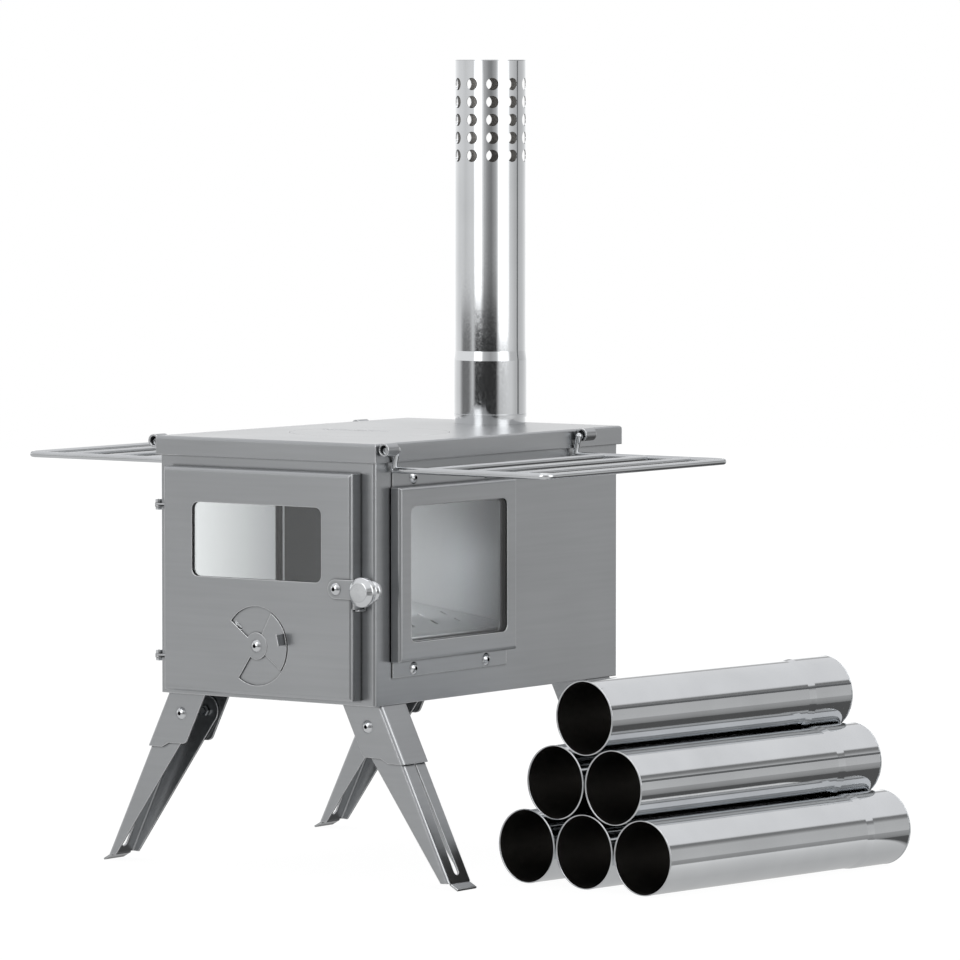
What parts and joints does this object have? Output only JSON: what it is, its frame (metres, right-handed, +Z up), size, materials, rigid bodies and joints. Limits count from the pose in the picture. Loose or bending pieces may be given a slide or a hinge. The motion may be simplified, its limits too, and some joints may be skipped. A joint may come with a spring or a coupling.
{
  "type": "tent wood stove",
  "caption": "Portable tent wood stove on folding legs, with glazed door, air damper, side windows, fold-over wire racks, lift-out hot plate, perforated chimney and spare chimney sections.",
  "frame": {"origin": "on the floor under the middle of the firebox", "axes": "+X to the right of a user who faces the door, +Y from the door to the back, +Z up"},
  "size_m": [0.6563, 0.4223, 0.6645],
  "materials": {
    "satin_steel": "satin brushed stainless steel",
    "polished_steel": "mirror-polished stainless steel",
    "glass": "clear heat-proof glass",
    "gasket": "matt black fibre gasket"
  },
  "bodies": {
    "stove": {"firebox": "satin_steel", "lid": "satin_steel", "hot_plate_ledge": "satin_steel", "flue_collar": "polished_steel", "latch_keeper": "satin_steel", "hinge_lugs": "satin_steel", "hinge_pins": "polished_steel", "window_plate_left": "satin_steel", "window_plate_right": "satin_steel", "window_frame_left": "satin_steel", "window_frame_right": "satin_steel", "window_gasket_left": "gasket", "window_gasket_right": "gasket", "window_glass_left": "glass", "window_glass_right": "glass", "window_screws": "polished_steel", "rack_barrels": "satin_steel", "bracket_front_left": "satin_steel", "bracket_front_right": "satin_steel", "bracket_rear_left": "satin_steel", "bracket_rear_right": "satin_steel", "pivot_screws": "polished_steel", "pivot_nuts": "polished_steel", "grate": "satin_steel"},
    "door": {"door": "satin_steel", "door_glass": "glass", "door_glass_retainer": "satin_steel", "damper_screw": "polished_steel", "latch_screw": "polished_steel"},
    "latch": {"latch_arm": "satin_steel", "latch_knob": "polished_steel"},
    "damper": {"air_damper": "satin_steel"},
    "hot_plate": {"hot_plate": "satin_steel"},
    "chimney_top": {"flue_perforated": "polished_steel"},
    "rack_left": {"rack_left": "polished_steel"},
    "rack_right": {"rack_right": "polished_steel"},
    "leg_front_left": {"leg_front_left": "satin_steel"},
    "leg_front_right": {"leg_front_right": "satin_steel"},
    "leg_rear_left": {"leg_rear_left": "satin_steel"},
    "leg_rear_right": {"leg_rear_right": "satin_steel"},
    "spare_flue_1": {"spare_flue_1": "polished_steel"},
    "spare_flue_2": {"spare_flue_2": "polished_steel"},
    "spare_flue_3": {"spare_flue_3": "polished_steel"},
    "spare_flue_4": {"spare_flue_4": "polished_steel"},
    "spare_flue_5": {"spare_flue_5": "polished_steel"},
    "spare_flue_6": {"spare_flue_6": "polished_steel"}
  },
  "joints": [
    {"name": "door_hinge", "type": "hinge", "parent": "stove", "child": "door", "pos_m": [-0.106, -0.178, 0.24], "axis": [0, 0, -1], "range_deg": [0, 150]},
    {"name": "latch_lift", "type": "hinge", "parent": "door", "child": "latch", "pos_m": [0.0817, -0.1857, 0.23965], "axis": [0, -1, 0], "range_deg": [0, 40]},
    {"name": "damper_turn", "type": "hinge", "parent": "door", "child": "damper", "pos_m": [0, -0.184, 0.1896], "axis": [0, 1, 0], "range_deg": [-80, 80]},
    {"name": "hot_plate_lift", "type": "slide", "parent": "stove", "child": "hot_plate", "axis": [0, 0, 1], "range_m": [0, 0.06]},
    {"name": "chimney_top_lift", "type": "slide", "parent": "stove", "child": "chimney_top", "axis": [0, 0, 1], "range_m": [0, 0.05]},
    {"name": "rack_left_fold", "type": "hinge", "parent": "stove", "child": "rack_left", "pos_m": [-0.1178, -0.02, 0.35095], "axis": [0, 1, 0], "range_deg": [0, 180]},
    {"name": "rack_right_fold", "type": "hinge", "parent": "stove", "child": "rack_right", "pos_m": [0.1178, -0.02, 0.35095], "axis": [0, -1, 0], "range_deg": [0, 175.2]},
    {"name": "leg_front_left_fold", "type": "hinge", "parent": "stove", "child": "leg_front_left", "pos_m": [-0.0957, -0.14445, 0.1276], "axis": [0, -1, 0], "range_deg": [0, 116]},
    {"name": "leg_front_right_fold", "type": "hinge", "parent": "stove", "child": "leg_front_right", "pos_m": [0.0957, -0.14445, 0.1276], "axis": [0, 1, 0], "range_deg": [0, 76]},
    {"name": "leg_rear_left_fold", "type": "hinge", "parent": "stove", "child": "leg_rear_left", "pos_m": [-0.0957, 0.14445, 0.1276], "axis": [0, -1, 0], "range_deg": [0, 116]},
    {"name": "leg_rear_right_fold", "type": "hinge", "parent": "stove", "child": "leg_rear_right", "pos_m": [0.0957, 0.14445, 0.1276], "axis": [0, 1, 0], "range_deg": [0, 76]},
    {"name": "spare_flue_1_pull", "type": "slide", "parent": "stove", "child": "spare_flue_1", "axis": [0.1184, 0.993, 0], "range_m": [0, 0.2]},
    {"name": "spare_flue_2_pull", "type": "slide", "parent": "stove", "child": "spare_flue_2", "axis": [0.1184, 0.993, 0], "range_m": [0, 0.2]},
    {"name": "spare_flue_3_pull", "type": "slide", "parent": "stove", "child": "spare_flue_3", "axis": [0.1184, 0.993, 0], "range_m": [0, 0.2]},
    {"name": "spare_flue_4_pull", "type": "slide", "parent": "stove", "child": "spare_flue_4", "axis": [0.1184, 0.993, 0], "range_m": [0, 0.2]},
    {"name": "spare_flue_5_pull", "type": "slide", "parent": "stove", "child": "spare_flue_5", "axis": [0.1184, 0.993, 0], "range_m": [0, 0.2]},
    {"name": "spare_flue_6_pull", "type": "slide", "parent": "stove", "child": "spare_flue_6", "axis": [0.1184, 0.993, 0], "range_m": [0, 0.2]}
  ]
}
